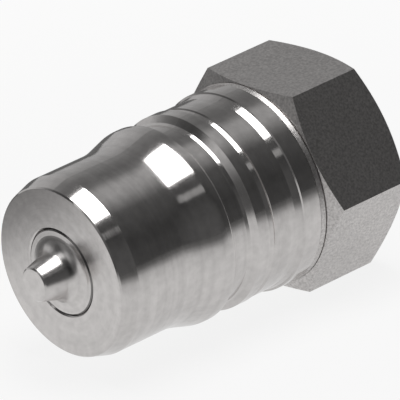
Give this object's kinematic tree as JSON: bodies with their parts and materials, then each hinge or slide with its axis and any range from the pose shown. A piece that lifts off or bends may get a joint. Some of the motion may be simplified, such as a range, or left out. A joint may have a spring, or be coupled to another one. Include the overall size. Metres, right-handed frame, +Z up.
{
  "type": "hydraulic coupling nipple",
  "caption": "Male half of a quick-release hydraulic coupling: turned nose with ball groove, spring-loaded poppet valve, hexagon and female pipe thread.",
  "frame": {"origin": "middle of the whole length, on the surface that the nipple lies on", "axes": "+X along the centre line from the nose to the pipe thread, +Z up"},
  "size_m": [0.0664, 0.0412, 0.0356],
  "materials": {
    "plated_steel": "bright zinc-nickel plating over fine turning marks",
    "plated_steel_hex": "dull zinc-nickel plating over drawn hexagon bar",
    "poppet_steel": "turned and plated",
    "seal_rubber": "matte black nitrile",
    "guide_brass": "machined",
    "spring_steel": "drawn wire"
  },
  "bodies": {
    "housing": {"nose_body": "plated_steel", "hex_adaptor": "plated_steel_hex", "valve_guide": "guide_brass", "guide_ring": "spring_steel", "poppet_spring": "spring_steel", "joint_o_ring": "seal_rubber"},
    "valve": {"poppet": "poppet_steel", "poppet_seal": "seal_rubber"}
  },
  "joints": [
    {"name": "poppet_slide", "type": "slide", "parent": "housing", "child": "valve", "axis": [1, 0, 0], "range_m": [0, 0.005], "stiffness_N_per_m": 2500, "springref_m": -0.004, "deforming": ["poppet_spring"]}
  ]
}
